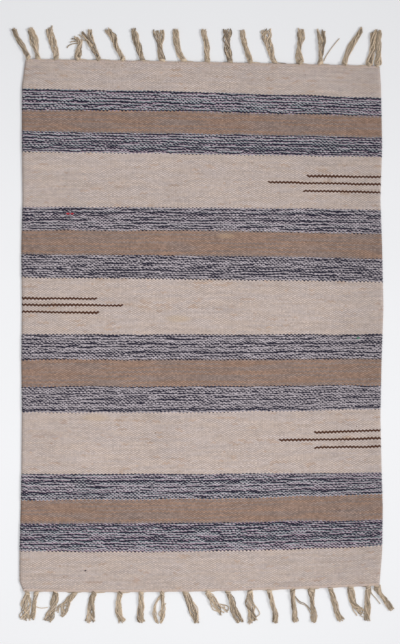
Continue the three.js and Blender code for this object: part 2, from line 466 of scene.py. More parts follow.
EDGE_CALM = 9.0  # mm in from each end over which the picks lie straight
WANDER = 1.3  # mm that a pick strays along the warp
LONG_WANDER = {"wide": 75, "deep": 16, "seed": 3.5}  # this and the next: sizes in mm
SHORT_WANDER = {"wide": 22, "deep": 9, "seed": 8.5}
SHORT_SHARE = 0.5  # how strong the short wander is beside the long one
UNEVENNESS = 0.35  # mm that the cloth's face rises and falls
UNEVEN = {"wide": 60, "deep": 55, "seed": 1.5}
SELVEDGE_PULL = 4  # power by which a selvedge's shift fades towards the middle
SELVEDGE_LOOP = 0.35  # mm that the weft's turns stand out of the selvedge
MARL_RISE = 0.45  # mm that the marled bands stand prouder than the others
MARL_FADE = (0.25, 0.5, 0.25)  # how that rise spreads over neighbouring picks
ROUNDING = 3.0  # mm in from the edges over which the cloth thins
EDGE_THICKNESS = 0.5  # share of the thickness that is left at the very edge
EDGE_RELIEF = 0.25  # share of the floats' rise that is left there
COARSE = 4  # the underside has a face for this many warps by this many picks
UNDER_INSET = 0.8  # mm that the underside stands in from the selvedges
RING_HEIGHT = 0.45  # height of the ring round the rim, as a share of the edge above it
RING_SHRINK = 1 - 0.1 / 300  # its width, as a share of the edge above it


def cloth_places(sizes, picks):
    """The top grid's X, Y and Z in millimetres, and the rise of the floats there."""
    half = half_of(sizes)
    warp = np.linspace(-half, half, sizes.warps + 1)
    lines = {side: np.array([pick[side] for pick in picks])[:, None] for side in CROSSINGS}
    along = line_at(lines, warp[None, :], half)
    across = np.broadcast_to(warp[None, :], along.shape)
    from_end = np.minimum(along - along[:1], along[-1:] - along)
    calm = np.clip(from_end / EDGE_CALM, 0, 1)
    wander = drift(across, along, **LONG_WANDER) + SHORT_SHARE * drift(across, along, **SHORT_WANDER)
    y = along + WANDER * wander * calm
    side_shift = np.where(across < 0, selvedge_shift(along, "left"), selvedge_shift(along, "right"))
    x = across + side_shift * np.abs(across / half) ** SELVEDGE_PULL
    beat = np.cos(math.pi * np.arange(len(picks)))[:, None]
    x[:, :1] -= SELVEDGE_LOOP * beat
    x[:, -1:] += SELVEDGE_LOOP * beat
    thick = np.array([1.0 if pick["yarn"] == "marled" else 0.0 for pick in picks])
    thick = np.convolve(np.pad(thick, 1, mode="edge"), MARL_FADE, mode="valid")[:, None]
    relief = (sizes.fine_relief + (sizes.thick_relief - sizes.fine_relief) * thick) / MM
    relief = np.broadcast_to(relief, x.shape)
    full = sizes.cloth_thickness / MM - sizes.fine_relief / MM + thick * MARL_RISE
    uneven = UNEVENNESS * drift(across, along, **UNEVEN)
    from_side = half - np.abs(across)
    edge = np.clip(np.minimum(from_end, from_side) / ROUNDING, 0, 1)
    rounding = EDGE_THICKNESS + (1 - EDGE_THICKNESS) * np.sqrt(1 - (1 - edge) ** 2)
    z = (full + uneven) * rounding
    return x, y, z, relief * np.clip(edge, EDGE_RELIEF, 1)


def top_faces(grid):
    """Two triangles a crossing, split along its low corners so that each float is a bump."""
    a, b, c, d = grid[:-1, :-1], grid[:-1, 1:], grid[1:, 1:], grid[1:, :-1]
    row, column = np.indices(a.shape)
    high = ((row + column) % 2 == 0)[..., None]
    first = np.where(high, np.stack([a, b, d], -1), np.stack([a, b, c], -1))
    second = np.where(high, np.stack([b, c, d], -1), np.stack([a, c, d], -1))
    return np.concatenate([first.reshape(-1, 3), second.reshape(-1, 3)]).tolist()


def cloth_shell(sizes, picks):
    """The whole cloth as one closed shell: fine top, rounded rim and coarser flat underside."""
    x, y, z, relief = cloth_places(sizes, picks)
    rows, columns = x.shape
    v, u = np.indices(x.shape)
    grid = v * columns + u
    points = np.stack([x, y, z], -1).reshape(-1, 3)
    weave = np.stack([u, v, np.zeros_like(u)], -1).reshape(-1, 3).astype(float)
    faces = top_faces(grid)

    # underside
    coarse_rows = sorted({*range(0, rows, COARSE), rows - 1})
    coarse_columns = sorted({*range(0, columns, COARSE), columns - 1})
    inset = 1 - UNDER_INSET / half_of(sizes)
    coarse = np.ix_(coarse_rows, coarse_columns)
    under = np.stack([x * inset, y * inset, np.zeros_like(x)], -1)[coarse].reshape(-1, 3)
    under_weave = weave.reshape(rows, columns, 3)[coarse].reshape(-1, 3)
    first_under = len(points)
    numbers = first_under + np.arange(len(under)).reshape(len(coarse_rows), len(coarse_columns))
    quads = [numbers[:-1, :-1], numbers[1:, :-1], numbers[1:, 1:], numbers[:-1, 1:]]
    faces += np.stack(quads, -1).reshape(-1, 4).tolist()

    # rounded rim, side by side and anticlockwise: a ring halfway down, then faces that gather it
    # onto the coarser underside
    sides = [grid[0, :], grid[:, -1], grid[-1, ::-1], grid[::-1, 0]]
    rim = np.concatenate([side[:-1] for side in sides])
    first_ring = first_under + numbers.size
    ring_of = dict(zip(rim.tolist(), range(first_ring, first_ring + len(rim))))
    ring = points[rim] * (RING_SHRINK, 1, RING_HEIGHT)
    under_of = dict(zip(grid[coarse].ravel().tolist(), numbers.ravel().tolist()))
    for side in sides:
        chain = side.tolist()
        for near, far in zip(chain[:-1], chain[1:]):
            faces.append([far, near, ring_of[near], ring_of[far]])
        stops = [place for place, number in enumerate(chain) if number in under_of]
        for start, stop in zip(stops[:-1], stops[1:]):
            span = [ring_of[number] for number in chain[start : stop + 1]]
            faces.append([*reversed(span), under_of[chain[start]], under_of[chain[stop]]])

    points = np.concatenate([points, under, ring])
    weave = np.concatenate([weave, under_weave, weave[rim]])
    relief = np.concatenate([relief.ravel(), np.zeros(len(points) - relief.size)])
    return points, faces, weave, relief


def mesh_object(name, points, faces=(), edges=()):
    mesh = bpy.data.meshes.new(name)
    mesh.from_pydata((np.asarray(points) * MM).tolist(), list(edges), list(faces))
    mesh.update()
    piece = bpy.data.objects.new(name, mesh)
    bpy.context.scene.collection.objects.link(piece)
    return piece


def store(mesh, name, kind, values):
    """A value for each vertex, under a name that materials and trees read."""
    attribute = mesh.attributes.new(name, kind, "POINT")
    field = "vector" if kind == "FLOAT_VECTOR" else "value"
    attribute.data.foreach_set(field, np.asarray(values, dtype=np.float32).ravel())


TOP_SHARE = 0.68  # of the baking map's width is the cloth's face
MAP_MARGIN = 0.002  # metres
FACING_DOWN = -0.9  # the underside's normals point lower than this


def baking_map(mesh):
    """A flat map of the cloth: its face and rim on one side of the map, its underside beside it."""
    corners = np.empty(len(mesh.loops), dtype=np.int64)
    mesh.loops.foreach_get("vertex_index", corners)
    places = np.empty(len(mesh.vertices) * 3)
    mesh.vertices.foreach_get("co", places)
    places = places.reshape(-1, 3)
    normals = np.array([polygon.normal.z for polygon in mesh.polygons])
    sizes = np.array([polygon.loop_total for polygon in mesh.polygons])
    below = np.repeat(normals < FACING_DOWN, sizes)
    low, high = places.min(0) - MAP_MARGIN, places.max(0) + MAP_MARGIN
    flat = ((places - low) / (high - low))[corners, :2]
    flat[:, 0] *= np.where(below, 1 - TOP_SHARE, TOP_SHARE)
    flat[:, 0] += np.where(below, TOP_SHARE, 0)
    layer = mesh.uv_layers.new(name="OFBake")
    layer.data.foreach_set("uv", flat.astype(np.float32).ravel())


# Geometry trees

def geometry_tree(name, *numbers):
    """A geometry tree with named inputs: a mesh, some numbers and a material."""
    tree = bpy.data.node_groups.new(name, "GeometryNodeTree")
    tree.interface.new_socket("Geometry", in_out="INPUT", socket_type="NodeSocketGeometry")
    for label in numbers:
        tree.interface.new_socket(label, in_out="INPUT", socket_type="NodeSocketFloat")
    tree.interface.new_socket("Material", in_out="INPUT", socket_type="NodeSocketMaterial")
    tree.interface.new_socket("Geometry", in_out="OUTPUT", socket_type="NodeSocketGeometry")
    return tree, add_node(tree, "NodeGroupInput")


def end_tree(tree, geometry, given):
    """Every tree ends in real geometry with its material."""
    real = add_node(tree, "GeometryNodeRealizeInstances", sockets={"Geometry": geometry})["Geometry"]
    smooth = add_node(tree, "GeometryNodeSetShadeSmooth", sockets={"Geometry": real})["Geometry"]
    sockets = {"Geometry": smooth, "Material": given["Material"]}
    covered = add_node(tree, "GeometryNodeSetMaterial", sockets=sockets)["Geometry"]
    add_node(tree, "NodeGroupOutput", sockets={"Geometry": covered})


def named_value(tree, name, kind="FLOAT"):
    settings = {"data_type": kind}
    return add_node(tree, "GeometryNodeInputNamedAttribute", settings, {"Name": name})["Attribute"]


def weave_tree():
    """Raises each crossing where the weft passes over a warp and lowers it where it passes under."""
    tree, given = geometry_tree("Weave relief", "Relief")
    warp, pick, _ = parts_of(named_value(tree, "weave", "FLOAT_VECTOR"))
    crossing = (warp * math.pi).cosine() * (pick * math.pi).cosine()
    lift = crossing * named_value(tree, "relief") * given["Relief"]
    sockets = {"Geometry": given["Geometry"], "Offset": vector(0.0, 0.0, lift)}
    raised = add_node(tree, "GeometryNodeSetPosition", sockets=sockets)["Geometry"]
    end_tree(tree, raised, given)
    return tree


PLIES = 3
PLY_SIDES = 4
PLY_SIZE = 0.5  # a ply's radius, as a share of its yarn's
PLY_OUT = 0.95  # how far out the plies lie, as a share of their own radius
TONE_TURN = 40  # radians that the twist of a yarn of tone 1 starts ahead of one of tone 0


def yarn_tree():
    """Spins plied yarn along every path: each ply is a tube that winds round the path."""
    tree, given = geometry_tree("Plied yarn", "Radius", "Turn", "Step")
    path = add_node(tree, "GeometryNodeMeshToCurve", sockets={"Mesh": given["Geometry"]})["Curve"]
    sockets = {"Curve": path, "Length": given["Step"]}
    path = add_node(tree, "GeometryNodeResampleCurve", {"mode": "LENGTH"}, sockets)["Curve"]
    along = add_node(tree, "GeometryNodeSplineParameter")["Length"]
    normal = add_node(tree, "GeometryNodeInputNormal")["Normal"]
    tangent = add_node(tree, "GeometryNodeInputTangent")["Tangent"]
    binormal = vector_math("CROSS_PRODUCT", tangent, normal)
    ply_radius = given["Radius"] * PLY_SIZE
    away = ply_radius * PLY_OUT * (1 + named_value(tree, "loose"))
    start = named_value(tree, "tone") * TONE_TURN
    ring = {"Resolution": PLY_SIDES, "Radius": ply_radius}
    ring = add_node(tree, "GeometryNodeCurvePrimitiveCircle", sockets=ring)["Curve"]
    joined = tree.nodes.new("GeometryNodeJoinGeometry")
    for ply in range(PLIES):
        angle = along / given["Turn"] * math.tau + start + ply * math.tau / PLIES
        sideways = vector_math("SCALE", normal, away * angle.cosine())
        upwards = vector_math("SCALE", binormal, away * angle.sine())
        offset = vector_math("ADD", sideways, upwards)
        place = add_node(tree, "GeometryNodeInputPosition")["Position"]
        x, y, z = parts_of(vector_math("ADD", place, offset))
        on_floor = vector(x, y, z.math("MAXIMUM", z, ply_radius))
        sockets = {"Geometry": path, "Position": on_floor}
        wound = add_node(tree, "GeometryNodeSetPosition", sockets=sockets)["Geometry"]
        sockets = {"Curve": wound, "Profile Curve": ring, "Fill Caps": True}
        tube = add_node(tree, "GeometryNodeCurveToMesh", sockets=sockets)["Mesh"]
        tree.links.new(tube.socket, joined.inputs[0])
    end_tree(tree, Field(tree, joined.outputs[0]), given)
    return tree


def through_tree(piece, tree, values):
    """Runs a piece's mesh through a geometry tree and keeps the result as its plain mesh."""
    modifier = piece.modifiers.new(tree.name, "NODES")
    modifier.node_group = tree
    for socket in tree.interface.items_tree:
        if socket.in_out == "INPUT" and socket.name in values:
            modifier[socket.identifier] = values[socket.name]
    graph = bpy.context.evaluated_depsgraph_get()
    made = bpy.data.meshes.new_from_object(piece.evaluated_get(graph), depsgraph=graph)
    piece.modifiers.remove(modifier)
    raw = piece.data
    piece.data = made
    bpy.data.meshes.remove(raw)
    made.name = piece.name
    return piece


# Materials

def weft_floats(tree):
    """Finds, at any point of the cloth, the weft float that covers it. Floats lie like bricks,
    so the nearest one comes from rounding along both diagonals."""
    weave = add_node(tree, "ShaderNodeAttribute", {"attribute_name": "weave"})["Vector"]
    warp, pick, _ = parts_of(weave)
    rising = ((warp + pick) / 2).round()
    falling = ((warp - pick) / 2).round()
    float_warp, float_pick = rising + falling, rising - falling
    return float_warp, float_pick, warp - float_warp, pick - float_pick


def ecru_colour(colours, warp, pick):
    """Undyed cotton: brighter and duller picks, pairs of picks that are a little warmer, and thin
    brownish slubs and knots that run along the weft."""
    streak = cloud(warp * 0.045, pick * 7.3, 2.0, 2.0)
    blotch = cloud(warp * 0.22, pick * 0.31, 15.0)
    hue = cloud(warp * 0.055, (pick / 2).floor() * 8.3, 25.0)
    slub = cloud(warp * 0.10, (pick / 2).floor() * 5.1, 9.0)
    knot = cloud(warp * 0.30, pick * 4.7, 19.0)
    fleck = chance(warp, pick, 4.0)
    level = 0.57 + 0.52 * streak + 0.18 * blotch + 0.17 * fleck
    plain = tinted(colours.ecru, level)
    warmer = tinted(plain, (1.03, 0.98, 0.90))
    warmth = 0.6 * hue.rise(0.34, 0.66) + 0.3 * chance(warp, pick, 14.0)
    plain = mixed(warmth, plain, warmer)
    browner = tinted(plain, (0.86, 0.73, 0.61))
    return mixed(slub.rise(0.63, 0.69) * 0.55 + knot.rise(0.70, 0.76) * 0.6, plain, browner)


def tan_colour(colours, warp, pick):
    """Tan cotton: warmer and greyer lines, two picks deep, lie in turn, with a few dusky runs."""
    streak = cloud(warp * 0.045, pick * 6.1, 5.0)
    blotch = cloud(warp * 0.14, pick * 0.27, 17.0)
    pair = (pick / 2).floor()
    hue = cloud(warp * 0.03, pair * 8.7, 13.0) + 0.18 * (pair % 2)
    dusky = cloud(warp * 0.12, pick * 4.9, 27.0)
    fleck = chance(warp, pick, 7.0)
    level = 0.60 + 0.42 * streak + 0.08 * blotch + 0.36 * fleck
    plain = tinted(colours.tan, level)
    warmer = tinted(plain, (1.02, 0.97, 0.91))
    greyer = tinted(plain, (0.89, 0.98, 1.08))
    plain = mixed(hue.rise(0.47, 0.71), warmer, greyer)
    darker = tinted(plain, (0.70, 0.65, 0.66))
    return mixed(dusky.rise(0.62, 0.72) * 0.45, plain, darker)


def marl_colour(colours, floats, tint):
    """A navy and a pale ply twisted together, with teal and rose fibres where they meet. How the
    twist falls on the floats wanders along a pick, more on a lively pick than on a calm one, and
    the navy ply swells and thins, so that a pick shows runs of one ply, of the other or of both."""
    warp, pick, across, along = floats
    lively = 1 - 0.5 * chance(5.0, pick, 51.0)
    long_run = cloud(warp * 0.05 + pick * 3.37, pick * 9.7, 1.0)
    short_run = cloud(warp * 0.15 + pick * 5.21, pick * 11.3, 6.0)
    fine_run = cloud(warp * 0.5 + pick * 5.21, pick * 11.3, 16.0)
    stretch = (warp * 0.15 + 9 * chance(3.0, pick, 33.0)).floor()
    wander = 1.1 * long_run + 0.3 * short_run + 0.5 * chance(stretch, pick, 37.0)
    turn = wander * lively + chance(0.0, pick, 3.0) + 0.5 * (pick % 2)
    turn = turn + 0.35 * fine_run + 0.22 * chance(warp, pick, 8.0)
    angle = turn * math.tau + 0.4 * across + 3.4 * along
    swell = cloud(warp * 0.2 + pick * 4.13, pick * 6.7, 41.0)
    navy = (angle.sine() + 2.5 * (swell - 0.5) + 0.25 - across ** 2).rise(-0.32, 0.38)
    level = 0.76 + 0.44 * chance(warp, pick, 28.0)
    pale = tinted(colours.marl_light, level)
    side = angle.cosine() * tint
    pale = mixed(side.rise(0.1, 1.0), pale, colours.rose)
    pale = mixed((0 - side).rise(0.1, 1.0), pale, colours.teal)
    return mixed(navy, pale, colours.marl_dark)


FLOAT_BUMP = 0.0007  # metres that a float of the weave seems to stand proud
FIBRE_BUMP = 0.0002


def cloth_material(sizes, colours, picks):
    """The woven face: every weft float takes the colour of its own pick."""
    material = new_material("Woven cotton")
    tree = material.node_tree
    floats = weft_floats(tree)
    warp, pick, across, along = floats
    starts = band_starts(picks)
    band = sum((pick > start for start in starts[1:]), pick > starts[0])
    is_tan = abs(band % 4 - 2) < 0.5
    tint = 0.0
    for number, row in enumerate(BANDS):
        if row["tint"]:
            tint = (abs(band - number) < 0.5) * row["tint"] + tint
    colour = ecru_colour(colours, warp, pick)
    colour = mixed(is_tan, colour, tan_colour(colours, warp, pick))
    colour = mixed(band % 2, colour, marl_colour(colours, floats, tint))

    half = half_of(sizes)
    warp_pitch = 2 * half / sizes.warps
    inlaid = 0.0
    for row in INLAYS:
        start = (row["start"] + half) / warp_pitch
        on_pick = abs(pick - (pick_at(picks, row["along"]) + 0.5)) < 1
        inlaid = on_pick * ((warp > start) if row["side"] == "right" else (warp < start)) + inlaid
    colour = mixed(inlaid, colour, colours.brown)

    x, y, _ = parts_of(add_node(tree, "ShaderNodeTexCoord")["Object"])
    fading = cloud(x * 9, y * 9, 31.0)
    # painted shade: the cloth darkens towards the right selvedge and a little towards the left, standing in
    # for light that falls off to the sides
    painted_side_shade = 0.10 * x.rise(0.13, 0.33) + 0.03 * (0 - x).rise(0.15, 0.30)
    colour = tinted(colour, 0.94 + 0.12 * fading - painted_side_shade)
    for row in SPOTS:
        sideways = (x / MM - row["x"]) / row["wide"]
        lengthways = (y / MM - row["y"]) / row["deep"]
        inside = 1 - (sideways ** 2 + lengthways ** 2)
        colour = mixed(inside.rise(0.0, 0.9) * row["strength"], colour, row["colour"])

    crest = (across * (math.pi / 2)).cosine() * (1 - along ** 2).root()
    # painted shade: each float's colour darkens towards its edges, as shade in the grooves between floats
    colour = tinted(colour, 0.58 + 0.50 * crest)
    twist = ((across * 1.6 + along * 1.1) * math.tau).sine()
    varying = {
        "Base Color": colour,
        "Roughness": 0.80 + 0.15 * chance(warp, pick, 2.0),
        "Normal": bumped(crest + 0.05 * twist, FLOAT_BUMP),
    }
    return finish_material(material, COTTON, varying)


def yarn_material(name, colour, contrast):
    """Spun cotton yarn: each yarn has its own tone, with fibres and dust along it."""
    material = new_material(name)
    tree = material.node_tree
    tone = add_node(tree, "ShaderNodeAttribute", {"attribute_name": "tone"})["Fac"]
    fibres = speckle(tree, 900.0, 2.0)
    patches = speckle(tree, 120.0, 1.0)
    level = 1 + contrast * ((tone - 0.5) * 0.6 + (fibres - 0.5) * 0.6 + (patches - 0.5) * 0.8)
    dyed = tinted(colour, level)
    dusty = tinted(dyed, (0.52, 0.47, 0.45))
    dyed = mixed((tone < 0.15) * 0.5, dyed, dusty)
    greyer = tinted(dyed, (0.86, 0.88, 0.95))
    varying = {
        "Base Color": mixed(patches.rise(0.45, 0.70), dyed, greyer),
        "Roughness": 0.82 + 0.12 * fibres,
        "Normal": bumped(fibres, FIBRE_BUMP),
    }
    return finish_material(material, COTTON, varying)


def floor_material(colours):
    """Plain pale matt floor, very slightly uneven in tone."""
    material = new_material("Pale floor")
    tree = material.node_tree
    shade = tinted(colours.floor, 0.985 + 0.03 * speckle(tree, 3.0, 2.0))
    return finish_material(material, {"Specular IOR Level": 0.1, "Roughness": 0.9}, {"Base Color": shade})


# Tassels

RING_STEP = 1.3 * MM  # from one ring of a ply's tube to the next
KNOT_OUT = 3.7  # mm from the cloth's edge to the middle of a knot
KNOT_HEIGHT = 2.7  # mm up to its middle
KNOT_LENGTH = 5.4
KNOT_LOOPS = 4
KNOT_RADIUS = 2.7
KNOT_BELLY = 0.8  # mm that the knot is wider at its middle
KNOT_UNEVEN = 0.3  # mm that its loops differ in size
KNOT_FLATNESS = 0.78  # its height, as a share of its width
KNOT_REACH = 0.58  # share of a turn that a loop goes round to either side of its top
KNOT_POINTS = 17
KNOT_SLANT = 1.7  # mm along the tassel from a loop's top to its sides
BUNDLE_RADIUS = 4.3  # mm across, half the width of the gathered warps below the knot
BUNDLE_RISE = 2.5  # mm up, half their height there
LOCK_OUT = 0.55  # how far out a lock lies in its tassel, as a share of the tassel's width
YARN_OUT = 0.62  # how far out a yarn lies in its lock, as the same share
LOCK_TWIST = (2.0, 4.5)  # radians that the locks of a tassel twist round each other
TIP_VARIATION = 5.0  # mm that the yarns of one tassel differ in length
CURL_START = 0.6  # share of a tassel's length beyond which its ends curl
STATIONS = 21  # cross-sections along a tassel at which its yarns are settled
YARN_APART = 1.9  # yarn radii from one settled yarn's middle to the next
SETTLING_ROUNDS = 60
SINK = 0.03  # share of their distance that the yarns fall in each round
PUSH = 0.45  # share of an overlap that each of two yarns gives way by
PULL = 0.05  # share of the way back to its own place across that a yarn moves
YARN_ANGLE = 2.4  # radians from one yarn of a tassel to the next
SWELLING = 0.5  # share by which a tassel's width varies along it
FLATTENING = 0.6  # share of its height that a tassel loses to its tip
WAVE_LENGTH = 12  # mm along which a yarn wavers once
WAVE, TIP_WAVE = 0.6, 2.2  # mm that a yarn wavers at the knot, and what its tip adds to that
SWAY = 4.0  # mm that a whole tassel sways at its tip
LOOSENESS = 0.9  # share by which a yarn's plies open at its tip
STRAY_LOOSENESS = 0.1
STRAY_POINTS = 20
GATHER_POINTS = 12
CLOTH_MIDDLE = 2.0  # mm up, inside the cloth
ROOTED = 3.0  # mm inside the cloth at which a gathered warp begins
GATHER_OUT = 0.2  # mm off the cloth's edge from which the gathered warps are counted
GATHER_STEP = 0.35  # yarn radii that each warp nearer the knot lies further out
GATHER_SLACK = 1.8  # mm at most that the last warp hangs loose
GATHER_HEIGHTS = (1.2, 2.1)  # mm up, by turns


def strand(points, tone, loose=0.0):
    """A yarn's path, its tone and how far its plies open at its tip."""
    return {"points": points, "tone": tone, "loose": loose}


def bent(points, count):
    """A smooth path through a few points, as count points."""
    points = np.asarray(points, dtype=float)
    knots = np.linspace(0, len(points) - 1, count)
    out = []
    for place in knots:
        i = min(int(place), len(points) - 2)
        t = place - i
        before, after = points[max(i - 1, 0)], points[min(i + 2, len(points) - 1)]
        a, b = points[i], points[i + 1]
        out.append(0.5 * (
            2 * a + (b - before) * t + (2 * before - 5 * a + 4 * b - after) * t * t
            + (3 * a - before - 3 * b + after) * t ** 3
        ))
    return np.array(out)


class TasselLie:
    """How one tassel lies: a gentle bow from its knot to its tip."""

    def __init__(self, tassel, end_line, end, half_width):
        self.tassel, self.end = tassel, end
        edge = line_at(end_line, tassel["root"], half_width)
        self.edge = edge
        self.root = np.array([tassel["root"], edge + end * KNOT_OUT])
        self.tip = np.array([tassel["tip"], edge + end * tassel["reach"]])
        self.middle = (self.root + self.tip) / 2 + np.array([2 * tassel["bow"], 0])

    def at(self, share):
        """The place and the heading at shares of the tassel's length."""
        share = np.asarray(share)[:, None]
        place = (1 - share) ** 2 * self.root + 2 * share * (1 - share) * self.middle + share ** 2 * self.tip
        heading = 2 * (1 - share) * (self.middle - self.root) + 2 * share * (self.tip - self.middle)
        return place, heading / np.linalg.norm(heading, axis=1)[:, None]


def settled(across, height, gap, rest):
    """Lets yarns, seen end on as round dots at each cross-section, sink until they lie on the
    floor and on one another."""
    wanted = across.copy()
    own = np.eye(across.shape[1]) * 1e6
    for _ in range(SETTLING_ROUNDS):
        height = height - SINK * gap
        apart_x = across[:, :, None] - across[:, None, :]
        apart_z = height[:, :, None] - height[:, None, :]
        distance = np.sqrt(apart_x ** 2 + apart_z ** 2) + own + 1e-6
        push = PUSH * np.clip(gap - distance, 0, None) / distance
        across = across + (apart_x * push).sum(-1) + PULL * (wanted - across)
        height = np.maximum(height + (apart_z * push).sum(-1), rest)
    return across, height


def wavy(seeds, places):
    """Smooth noise along some lines, one column for each seed."""
    return np.array([[noise.noise(Vector((seed, place, 0.3))) for seed in seeds] for place in places])


def loose_yarns(lie, sizes, random):
    """The tassel's own yarns, in two or three locks twisted loosely round each other: a round
    bundle at the knot that flattens and opens to the tips."""
    tassel, yarns = lie.tassel, sizes.yarns
    radius = sizes.yarn_radius / MM
    share = np.linspace(0, 1, STATIONS)[:, None]
    number = np.arange(yarns)
    locks = random.randint(2, 4)
    twist = random.choice([-1, 1]) * random.uniform(*LOCK_TWIST) * share
    start = random.random() * math.tau
    lock_angle = start + number % locks * math.tau / locks + twist
    own_angle = start + number * YARN_ANGLE + 1.6 * twist
    own_out = YARN_OUT * np.sqrt((number // locks + 0.5) * locks / yarns)
    sideways = LOCK_OUT * np.cos(lock_angle) + own_out * np.cos(own_angle)
    upwards = LOCK_OUT * np.sin(lock_angle) + own_out * np.sin(own_angle)
    swell = 1 + SWELLING * wavy(random.random(1) * 50, share[:, 0] * 2.6)
    tip_width = tassel["spread"] / 2
    half_width = (BUNDLE_RADIUS + (tip_width - BUNDLE_RADIUS) * share ** 0.8) * swell
    half_height = BUNDLE_RISE * (1 - FLATTENING * share ** 0.5)
    wave = wavy(random.random(yarns) * 50, share[:, 0] * tassel["reach"] / WAVE_LENGTH)
    sway = wavy(random.random(1) * 50, share[:, 0] * 2.2)
    across = sideways * half_width + wave * (WAVE + TIP_WAVE * share) + sway * SWAY * share
    height = radius + half_height * (1 + upwards)
    across, height = settled(across, height, YARN_APART * radius, radius)
    half = np.sign(across[-1] - np.median(across[-1]) + 0.01)
    across = across + half * (4 * share * (1 - share) * tassel["gap"] + share ** 2 * tassel["fork"]) / 2
    curl = tassel["curl"] * random.uniform(0.4, 1.1, yarns)
    turned = np.clip((share - CURL_START) / (1 - CURL_START), 0, 1) * random.uniform(0.8, 3.4, yarns)
    across = across + curl * (1 - np.cos(turned))
    lengths = tassel["reach"] + TIP_VARIATION * (0.5 - random.random(yarns))
    along = share * lengths - np.abs(curl) * (turned - np.sin(turned))
    strands = []
    for yarn in range(yarns):
        place, heading = lie.at(along[:, yarn] / tassel["reach"])
        right = np.stack([heading[:, 1], -heading[:, 0]], -1) * lie.end
        points = np.column_stack([place + right * across[:, yarn, None], height[:, yarn]])
        strands.append(strand(points, random.random(), LOOSENESS))
    return strands


def knot_loops(lie, sizes, random):
    """The knot: slanting turns of the same yarn round the gathered warps."""
    place, heading = lie.at([0.0])
    centre, ahead = place[0], heading[0]
    right = np.array([ahead[1], -ahead[0]])
    radius = sizes.yarn_radius / MM
    angle = np.linspace(-KNOT_REACH, KNOT_REACH, KNOT_POINTS) * math.tau
    hand = random.choice([-1, 1])
    loops = []
    for loop in range(KNOT_LOOPS):
        share = (loop + 0.5) / KNOT_LOOPS
        size = KNOT_RADIUS + KNOT_BELLY * math.sin(math.pi * share) + KNOT_UNEVEN * random.random()
        forward = (share - 0.5) * KNOT_LENGTH + hand * KNOT_SLANT * np.sin(angle)
        height = np.maximum(KNOT_HEIGHT + KNOT_FLATNESS * size * np.cos(angle), radius)
        flat = centre + ahead * forward[:, None] + right * (size * np.sin(angle))[:, None]
        loops.append(strand(np.column_stack([flat, height]), random.random()))
    return loops


def gathered_warps(lie, sizes, reach_left, reach_right, random):
    """The warps that leave the cloth's edge and run along it into the knot."""
    pitch = sizes.cloth_width / MM / sizes.warps
    radius = sizes.yarn_radius / MM
    warps = []
    for side, reach in ((-1, reach_left), (1, reach_right)):
        count = max(1, round(reach / pitch))
        for rank in range(count):
            start = side * (rank + 0.5) * pitch
            x, end, edge = lie.tassel["root"], lie.end, lie.edge
            slack = GATHER_SLACK * random.random() ** 2 if rank == count - 1 else 0.0
            out = GATHER_OUT + GATHER_STEP * (count - rank) * radius + slack
            up = GATHER_HEIGHTS[rank % 2]
            points = (
                (x + start, edge - end * ROOTED, CLOTH_MIDDLE),
                (x + start, edge - end * 0.4, CLOTH_MIDDLE),
                (x + start - side * min(2.0, abs(start) / 2), edge + end * out, up),
                (x + start * 0.3, edge + end * (out + 0.8), up + 0.6),
                (x, edge + end * KNOT_OUT, KNOT_HEIGHT),
            )
            warps.append(strand(bent(points, GATHER_POINTS), random.random()))
    return warps


def stray_yarns(label, sizes, random):
    """The tassel's own yarns that lie on the floor beside it."""
    radius = sizes.yarn_radius / MM
    strays = []
    for row in STRAYS:
        if row["tassel"] == label:
            flat = np.array(row["points"], dtype=float)
            points = np.column_stack([flat, np.full(len(flat), radius)])
            strays.append(strand(bent(points, STRAY_POINTS), random.random(), STRAY_LOOSENESS))
    return strays


def spun_piece(name, strands, tree, values):
    """Spins yarn along a list of paths, as one piece."""
    points = np.concatenate([each["points"] for each in strands])
    counts = [len(each["points"]) for each in strands]
    starts = np.cumsum([0, *counts[:-1]])
    edges = []
    for start, count in zip(starts.tolist(), counts):
        edges += [(start + i, start + i + 1) for i in range(count - 1)]
    piece = mesh_object(name, points, edges=edges)
    store(piece.data, "tone", "FLOAT", np.repeat([each["tone"] for each in strands], counts))
    opening = [each["loose"] * np.linspace(0, 1, count) ** 3 for each, count in zip(strands, counts)]
    store(piece.data, "loose", "FLOAT", np.concatenate(opening))
    return through_tree(piece, tree, values)


def declare(piece, slot, *nodes):
    """Ties a finished piece to the frame."""
    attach(piece, "root")
    if nodes:
        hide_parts(*nodes)


def end_corners(line, half):
    """Where the cloth's end meets its two selvedges, along X in millimetres."""
    left = -half + float(selvedge_shift(line["left"], "left"))
    right = half + float(selvedge_shift(line["right"], "right"))
    return left, right


def tassel_row(end_name, tassels, end_line, end, sizes, tree, material):
    """All the tassels along one end of the cloth."""
    half = half_of(sizes)
    values = {"Radius": sizes.yarn_radius, "Turn": sizes.yarn_turn, "Step": RING_STEP, "Material": material}
    left, right = end_corners(end_line, half)
    roots = [tassel["root"] for tassel in tassels]
    halfway = [(a + b) / 2 for a, b in zip(roots[:-1], roots[1:])]
    fences = [left + 1, *halfway, right - 1]
    for number, tassel in enumerate(tassels, start=1):
        label = f"{end_name}_{number:02d}"
        random = np.random.RandomState(100 * number + (1 if end > 0 else 2))
        lie = TasselLie(tassel, end_line, end, half)
        reach = (tassel["root"] - fences[number - 1], fences[number] - tassel["root"])
        strands = loose_yarns(lie, sizes, random) + knot_loops(lie, sizes, random)
        strands += gathered_warps(lie, sizes, *reach, random) + stray_yarns(label, sizes, random)
        piece = spun_piece(f"yarns_{label}", strands, tree, values)
        declare(piece, "warp_yarn", f"tassel_{label}")


def shared_tree(name, build):
    return bpy.data.node_groups.get(name) or build()


